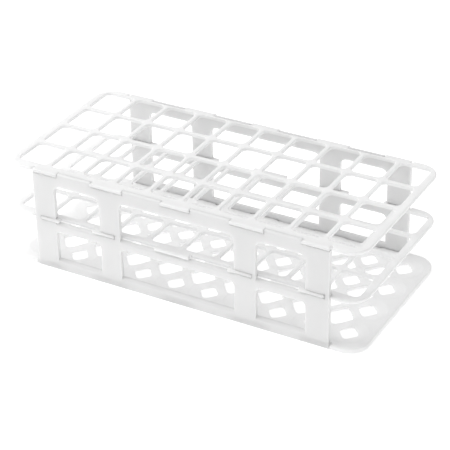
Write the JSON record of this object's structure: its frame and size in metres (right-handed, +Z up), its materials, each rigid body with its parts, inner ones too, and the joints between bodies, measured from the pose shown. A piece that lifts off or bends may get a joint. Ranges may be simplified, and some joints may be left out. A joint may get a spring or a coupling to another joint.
{
  "type": "test-tube rack",
  "caption": "Knock-down test-tube rack: open grid top and middle tiers and a seated floor, held between two windowed side panels.",
  "frame": {"origin": "centre of the footprint, on the table", "axes": "+X along the rack, +Y from the front panel to the back panel, +Z up"},
  "size_m": [0.265, 0.127, 0.075],
  "materials": {
    "top_tier": "satin white polypropylene, as moulded",
    "middle_tier": "satin white polypropylene, as moulded",
    "bottom_tier": "satin white polypropylene, as moulded",
    "front_panel": "satin white polypropylene, as moulded",
    "back_panel": "satin white polypropylene, as moulded"
  },
  "bodies": {
    "tiers": {"bottom_tier": "bottom_tier", "middle_tier": "middle_tier", "top_tier": "top_tier"},
    "front_panel": {"front_panel": "front_panel"},
    "back_panel": {"back_panel": "back_panel"}
  },
  "joints": [
    {"name": "front_panel_pull", "type": "slide", "parent": "tiers", "child": "front_panel", "axis": [0, -1, 0], "range_m": [0, 0.03]},
    {"name": "back_panel_pull", "type": "slide", "parent": "tiers", "child": "back_panel", "axis": [0, 1, 0], "range_m": [0, 0.03]}
  ]
}
